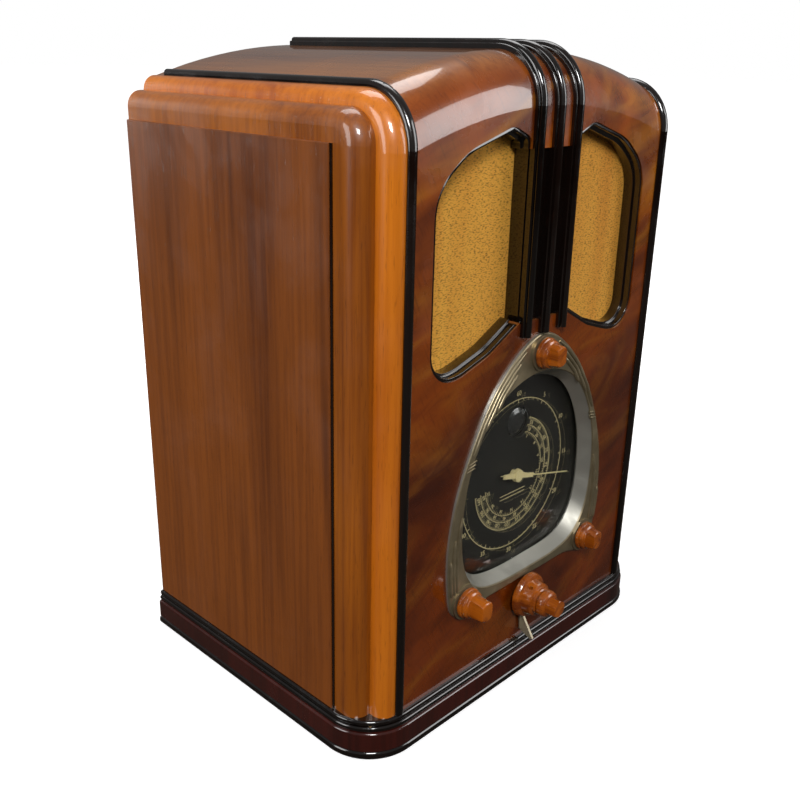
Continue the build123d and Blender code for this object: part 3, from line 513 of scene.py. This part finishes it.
# %% Dress the nodes
BY_SLOT = {
    "walnut_front": front_wood, "walnut_inner_rail": inner_wood, "walnut_outer_rail": outer_wood,
    "walnut_side": side_wood, "ebonised_wood": ebony, "mahogany": mahogany, "plain_wood": plain_wood,
    "knob_wood": knob_wood, "grille_cloth": cloth, "bronze": bronze, "dial_glass": glass,
    "dial_black": dial_black,
    "cream_paint": cream, "tunnel_grey": tunnel, "bulb_glass": bulb, "steel": steel,
    "chassis_steel": chassis_steel, "can_aluminium": spun, "bakelite": bakelite, "black_enamel": enamel,
    "speaker_metal": hammered, "cone_paper": paper, "rubber": rubber, "card_board": board, "cord": waxed,
}
SPECIAL = {"band_lever": lever_metal}
for part in frame["record"]["subparts"]:
    node = nodes[part["node"]]
    made = SPECIAL.get(part["node"], BY_SLOT[part["material_slot"]])
    node.data.materials.clear()
    node.data.materials.append(made.material)
    select(node)
    bpy.ops.object.shade_smooth_by_angle(angle=math.radians(32))
print("dressed", len(nodes), "nodes")

# %% [markdown]
# ## The grille cloth
# The cloth is a sheet glued flat over the board behind the grille, with a little slack between the lobes.
# A grid is subdivided from one plane, a notch is cut for the top control, and a few gentle waves keep it
# from being glassy.

# %% Cloth sheet
low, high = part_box("grille_cloth")
wide, tall = high.x - low.x, high.z - low.z
deselect()
middle = (0, (low.y + high.y) / 2, (low.z + high.z) / 2)
bpy.ops.mesh.primitive_plane_add(size=1, location=middle, rotation=UPRIGHT)
sheet = bpy.context.object
sheet.scale = (wide, tall, 1)
bpy.ops.object.mode_set(mode="EDIT")
bpy.ops.mesh.subdivide(number_cuts=99)
bpy.ops.object.mode_set(mode="OBJECT")
settle(sheet, "gold_grille_cloth")
for vertex in sheet.data.vertices:
    x, z = vertex.co.x, vertex.co.z
    vertex.co.y += 0.00025 * math.sin(x * 95 + 2 * math.sin(z * 30)) * math.cos(z * 22)
sheet.data.materials.append(cloth.material)
select(sheet)
bpy.ops.object.mode_set(mode="EDIT")
bpy.ops.mesh.select_all(action="DESELECT")
bpy.ops.object.mode_set(mode="OBJECT")
for face in sheet.data.polygons:
    face.select = abs(face.center.x) < 28 * MM and face.center.z < low.z + 28 * MM
bpy.ops.object.mode_set(mode="EDIT")
bpy.ops.mesh.delete(type="FACE")
bpy.ops.object.mode_set(mode="OBJECT")
bpy.ops.object.shade_smooth()
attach(sheet, "cabinet")
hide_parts("grille_cloth")
print("cloth", round(wide, 3), "by", round(tall, 3))

# %% [markdown]
# ## The dial's printing
# The print stands a hair proud of the dial plate. A ring starts as a filled circle, an inset leaves a
# thin border, and the middle is deleted. A tick is a small block that an array turns round the dial by
# way of an empty.

# %% Rings and ticks
PRINT_Y = DIAL_FACE - 0.15 * MM
PRINT_THICK = 0.2 * MM


def ring(radius, width, start=0, end=360):
    """A flat printed ring, or an arc of it between two angles clockwise from the top, in degrees."""
    deselect()
    bpy.ops.mesh.primitive_circle_add(
        vertices=144, radius=radius, fill_type="NGON", location=(0, PRINT_Y, DIAL_Z), rotation=UPRIGHT
    )
    made = bpy.context.object
    bpy.ops.object.mode_set(mode="EDIT")
    bpy.ops.mesh.select_all(action="SELECT")
    bpy.ops.mesh.inset(thickness=width, depth=0)
    bpy.ops.mesh.delete(type="FACE")
    bpy.ops.object.mode_set(mode="OBJECT")
    for face in made.data.polygons:
        centre = made.matrix_world @ face.center
        angle = math.degrees(math.atan2(centre.x, centre.z - DIAL_Z)) % 360
        face.select = not start <= angle <= end
    bpy.ops.object.mode_set(mode="EDIT")
    bpy.ops.mesh.delete(type="FACE")
    bpy.ops.mesh.select_all(action="SELECT")
    bpy.ops.mesh.extrude_region_move(TRANSFORM_OT_translate={"value": (0, -PRINT_THICK, 0)})
    bpy.ops.mesh.select_all(action="SELECT")
    bpy.ops.mesh.normals_make_consistent(inside=False)
    bpy.ops.object.mode_set(mode="OBJECT")
    return settle(made, "ring")


def ticks(radius, length, width, count, start, step):
    """Marks at the given radius, from the angle start, each turned by step, in degrees."""
    deselect()
    bpy.ops.mesh.primitive_cube_add(size=1, location=(0, PRINT_Y, DIAL_Z + radius))
    mark = bpy.context.object
    mark.scale = (width, PRINT_THICK, length)
    bpy.ops.object.transform_apply(location=False, rotation=False, scale=True)
    bpy.ops.object.mode_set(mode="EDIT")
    bpy.ops.mesh.select_all(action="SELECT")
    bpy.ops.mesh.bevel(offset=min(width, length, PRINT_THICK) * 0.2, segments=1)
    bpy.ops.object.mode_set(mode="OBJECT")
    bpy.context.scene.cursor.location = (0, PRINT_Y, DIAL_Z)
    bpy.ops.object.origin_set(type="ORIGIN_CURSOR")
    mark.rotation_euler = (0, math.radians(start), 0)
    bpy.ops.object.transform_apply(location=False, rotation=True, scale=False)
    turner = bpy.data.objects.new("turner", None)
    bpy.context.scene.collection.objects.link(turner)
    turned = Matrix.Rotation(math.radians(step), 4, "Y")
    turner.matrix_world = Matrix.Translation((0, PRINT_Y, DIAL_Z)) @ turned
    array = mark.modifiers.new("turn", "ARRAY")
    array.use_relative_offset = False
    array.use_object_offset = True
    array.offset_object = turner
    array.count = count
    select(mark)
    bpy.ops.object.modifier_apply(modifier="turn")
    bpy.data.objects.remove(turner)
    return mark


def numeral(text, radius, angle, size, upright=True):
    """A printed number at an angle clockwise from the top."""
    deselect()
    bpy.ops.object.text_add(rotation=(math.radians(90), 0, 0))
    made = bpy.context.object
    made.data.body = text
    made.data.size = size
    made.data.align_x = "CENTER"
    made.data.align_y = "CENTER"
    made.data.extrude = PRINT_THICK / 2
    made.data.resolution_u = 2
    turn = math.radians(angle)
    lean = 0 if upright else turn
    made.rotation_euler = Euler((math.radians(90), lean, 0), "XYZ")
    made.location = (radius * math.sin(turn), PRINT_Y - PRINT_THICK / 2, DIAL_Z + radius * math.cos(turn))
    bpy.ops.object.convert(target="MESH")
    return bpy.context.object


OUTER, INNER = 76 * MM, 57 * MM
SCALE_START, SCALE_END = 20, 262  # the tuning scales leave the top left free for the eye
SPAN = SCALE_END - SCALE_START
prints = [ring(OUTER, 0.7 * MM), ticks(OUTER - 1.4 * MM, 2.2 * MM, 0.35 * MM, 60, 0, 6)]
prints += [ticks(OUTER - 2.0 * MM, 3.4 * MM, 0.8 * MM, 12, 0, 30)]
for inset, step in ((0, 2), (7.5, 3), (14.5, 4)):
    radius = INNER - inset * MM
    prints.append(ring(radius, 0.5 * MM, SCALE_START, SCALE_END))
    prints.append(ticks(radius - 1.3 * MM, 2.2 * MM, 0.35 * MM, SPAN // step + 1, SCALE_START, step))
prints += [numeral(str(5 * n), OUTER + 5.6 * MM, 30 * n, 7.0 * MM) for n in range(1, 13)]
SCALES = (
    (5.0, 5.6, ("55", "60", "65", "70", "75", "80", "90", "100", "110", "120", "130", "140", "150", "160")),
    (12.0, 5.0, ("18", "20", "22", "25", "28", "30", "35", "40", "45", "50", "55", "60")),
    (19.0, 4.6, ("7", "8", "9", "10", "12", "14", "16", "18", "20", "22")),
)
for inset, size, labels in SCALES:
    for n, label in enumerate(labels):
        angle = SCALE_START + 6 + (SPAN - 12) * n / (len(labels) - 1)
        prints.append(numeral(label, INNER - inset * MM, angle, size * MM, False))
for drop in (-19.0, -22.6):
    prints.append(ticks(drop * MM, 0.7 * MM, 38 * MM, 1, 0, 0))
printing = joined(prints, "dial_printing")
printing.data.materials.clear()
printing.data.materials.append(cream.material)
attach(printing, "cabinet")
print("dial printing", len(printing.data.polygons), "faces")

# %% [markdown]
# ## The bezel's ribs
# Three staggered ribs run down each shoulder of the bezel, three flutes rise from each lower boss, and
# three short bands cross the rim at its waist. Each is a tapered bead that follows the rim, drawn as a
# curve and made a mesh.

# %% Bezel ribs
BEZEL_Y = FRONT_Y - 3.2 * MM  # the bezel's flat front
RIM = [(0, 107.5), (40, 107.3), (72, 105.5), (92, 101.5), (108, 110), (114, 129), (116.5, 150), (117, 172),
       (114.5, 196), (108, 225), (96, 256), (80, 287), (61, 314), (39, 335), (18, 348.5), (0, 353)]


def rim_line(inset, low_z, high_z, count=14):
    """Points on the right of the bezel's rim, moved in by inset, between two heights."""
    points = []
    for n in range(count):
        z = low_z + (high_z - low_z) * n / (count - 1)
        for (x0, z0), (x1, z1) in zip(RIM[4:], RIM[5:]):
            if z0 <= z <= z1:
                share = (z - z0) / (z1 - z0)
                run, rise = x1 - x0, z1 - z0
                length = math.hypot(run, rise)
                points.append((x0 + run * share - inset * rise / length, z + inset * run / length))
                break
    return points


def bead(points, radius, side):
    """A round bead along points (x, z) in millimetres, thinner at both ends."""
    deselect()
    bpy.ops.curve.primitive_nurbs_path_add(location=(0, 0, 0))
    made = bpy.context.object
    spline = made.data.splines[0]
    while len(spline.points) < len(points):
        spline.points.add(1)
    last = len(points) - 1
    for n, (x, z) in enumerate(points):
        spline.points[n].co = (side * x * MM, BEZEL_Y, z * MM, 1)
        spline.points[n].radius = 0.45 if n in (0, last) else 1.0
    for n in range(len(points), len(spline.points)):
        spline.points[n].co = spline.points[last].co
    spline.use_endpoint_u = True
    spline.order_u = 3
    made.data.bevel_depth = radius
    made.data.bevel_resolution = 3
    made.data.use_fill_caps = True
    made.data.resolution_u = 3
    bpy.ops.object.convert(target="MESH")
    return settle(bpy.context.object, "bead")


beads = []
for side in (-1, 1):
    for inset, low_z, high_z in ((3.2, 262, 343), (7.4, 283, 337), (11.6, 300, 330)):
        beads.append(bead(rim_line(inset, low_z, high_z), 2.0 * MM, side))
    for inset, high_z in ((3.0, 166), (7.0, 186), (11.0, 208)):
        beads.append(bead(rim_line(inset, 130, high_z), 1.9 * MM, side))
    for n in range(3):
        z = 247 + 3.2 * n
        edge = rim_line(0, z, z + 1, 2)[0][0]
        across = [(edge - 1.0, z), (edge - 6, z + 1), (edge - 11, z + 2)]
        beads.append(bead(across, 1.2 * MM, side))
ribs = joined(beads, "bezel_ribs")
ribs.data.materials.append(bronze.material)
bpy.ops.object.shade_smooth()
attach(ribs, "cabinet")

# %% [markdown]
# ## Rounded mouldings and knobs
# A lacquered edge is never sharp. Each of these pieces starts as a copy of its node, loses the edges
# inside its flat faces, and gets a small rounded bevel on the rest, so that its rims catch the light.


# %% Rounded copies
def rounded_copy(node, name, width, body, finish, angle=35):
    """A copy of a node with its sharp edges rounded, which takes the node's place."""
    deselect()
    source = bpy.data.objects[node]
    made = source.copy()
    made.data = source.data.copy()
    bpy.context.scene.collection.objects.link(made)
    select(made)
    bpy.ops.object.mode_set(mode="EDIT")
    bpy.ops.mesh.select_all(action="SELECT")
    bpy.ops.mesh.remove_doubles(threshold=0.00001)
    bpy.ops.mesh.dissolve_limited(angle_limit=math.radians(1.0))
    bpy.ops.object.mode_set(mode="OBJECT")
    bevel = made.modifiers.new("round", "BEVEL")
    bevel.width = width
    bevel.segments = 3
    bevel.limit_method = "ANGLE"
    bevel.angle_limit = math.radians(angle)
    bevel.use_clamp_overlap = True
    bpy.ops.object.modifier_apply(modifier="round")
    bpy.ops.object.shade_smooth_by_angle(angle=math.radians(40))
    settle(made, name)
    made.data.materials.clear()
    made.data.materials.append(finish.material)
    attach(made, body)
    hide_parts(node)
    print(name, len(made.data.polygons), "faces")


rounded_copy("grille_mouldings", "rounded_grille_mouldings", 1.4 * MM, "cabinet", ebony)
for knob in ("volume", "tone", "selectivity", "coarse_tuning", "fine_tuning"):
    rounded_copy(knob + "_knob", "rounded_" + knob + "_knob", 0.5 * MM, knob, knob_wood)

# %% [markdown]
# ## Studio
# A pale floor and soft light. The key is a large softbox high on the front left, a second one fills from
# the right, others light the side, the top and the open back.

# %% Floor, lights and camera
deselect()
bpy.ops.mesh.primitive_plane_add(size=60, location=(0, 0, 0))
floor = bpy.context.object
floor.name = "studio_floor"
floor_finish = mottled("studio floor", "#f6f6f6", "#f2f2f2", 0.9, 0.0, 3.0, 0.0)
floor_finish.set("Emission Color", (1, 1, 1, 1))
reach = floor_finish.node("ShaderNodeVectorMath", operation="LENGTH")
floor_finish.link(floor_finish.place, reach.inputs[0])
far = floor_finish.node("ShaderNodeMapRange", interpolation_type="SMOOTHSTEP")
floor_finish.link(reach.outputs["Value"], far.inputs["Value"])
far.inputs["From Min"].default_value = 0.3
far.inputs["From Max"].default_value = 1.4
far.inputs["To Min"].default_value = 0.4
far.inputs["To Max"].default_value = 1.0
floor_finish.feed(far.outputs["Result"], "Emission Strength")
dim = floor_finish.node("ShaderNodeBsdfDiffuse")
dim.inputs["Color"].default_value = (0.05, 0.045, 0.04, 1)
straight = floor_finish.node("ShaderNodeLightPath")
choice = floor_finish.node("ShaderNodeMixShader")
floor_finish.link(straight.outputs["Is Camera Ray"], choice.inputs["Fac"])
floor_finish.link(dim.outputs[0], choice.inputs[1])
floor_finish.link(floor_finish.shader.outputs[0], choice.inputs[2])
floor_finish.link(choice.outputs[0], floor_finish.tree.nodes["Material Output"].inputs["Surface"])
floor.data.materials.append(floor_finish.material)

world = bpy.data.worlds.new("studio air")
bpy.context.scene.world = world
world.use_nodes = True
air = world.node_tree
sky = air.nodes["Background"]
sky.inputs["Color"].default_value = (1, 1, 1, 1)
sky.inputs["Strength"].default_value = 0.16
seen = air.nodes.new("ShaderNodeBackground")
seen.inputs["Color"].default_value = (1, 1, 1, 1)
seen.inputs["Strength"].default_value = 1.0
paths = air.nodes.new("ShaderNodeLightPath")
either = air.nodes.new("ShaderNodeMixShader")
air.links.new(paths.outputs["Is Camera Ray"], either.inputs["Fac"])
air.links.new(sky.outputs[0], either.inputs[1])
air.links.new(seen.outputs[0], either.inputs[2])
air.links.new(either.outputs[0], air.nodes["World Output"].inputs["Surface"])


def softbox(name, place, aim, size, power):
    """A square area light that faces a point."""
    light = bpy.data.lights.new(name, "AREA")
    light.shape = "RECTANGLE"
    light.size, light.size_y = size
    light.energy = power
    made = bpy.data.objects.new(name, light)
    bpy.context.scene.collection.objects.link(made)
    made.location = place
    made.rotation_euler = (Vector(aim) - Vector(place)).to_track_quat("-Z", "Y").to_euler()
    return made


softbox("key", (-1.5, -1.7, 2.0), (0, 0, 0.35), (0.7, 0.7), 52)
softbox("fill", (1.6, -2.0, 1.2), (0, 0, 0.3), (1.2, 1.6), 24)
softbox("side", (-2.4, 0.4, 1.1), (0, 0, 0.3), (1.0, 1.6), 22)
softbox("top", (0.2, 0.5, 2.2), (0, 0, 0.4), (1.6, 0.8), 14)
softbox("back", (-0.4, 2.2, 0.7), (0, 0, 0.25), (0.8, 0.9), 20)

# The camera looks from the left front and above, a little rolled, at a normal lens's angle.
camera_data = bpy.data.cameras.new("camera")
camera_data.sensor_width = 36.0
camera_data.lens = 42.06
camera_data.clip_start = 0.05
camera = bpy.data.objects.new("camera", camera_data)
bpy.context.scene.collection.objects.link(camera)
sight = Vector((0.67530, 0.65089, -0.34684)).normalized()
right = Vector((0.69931, -0.71451, 0.02070)).normalized()
up = right.cross(sight).normalized()
turn = Matrix((right, up, -sight)).transposed()
camera.matrix_world = Matrix.Translation((-0.6618, -0.6193, 0.5813)) @ turn.to_4x4()
bpy.context.scene.camera = camera
bpy.context.scene.view_settings.view_transform = "Standard"
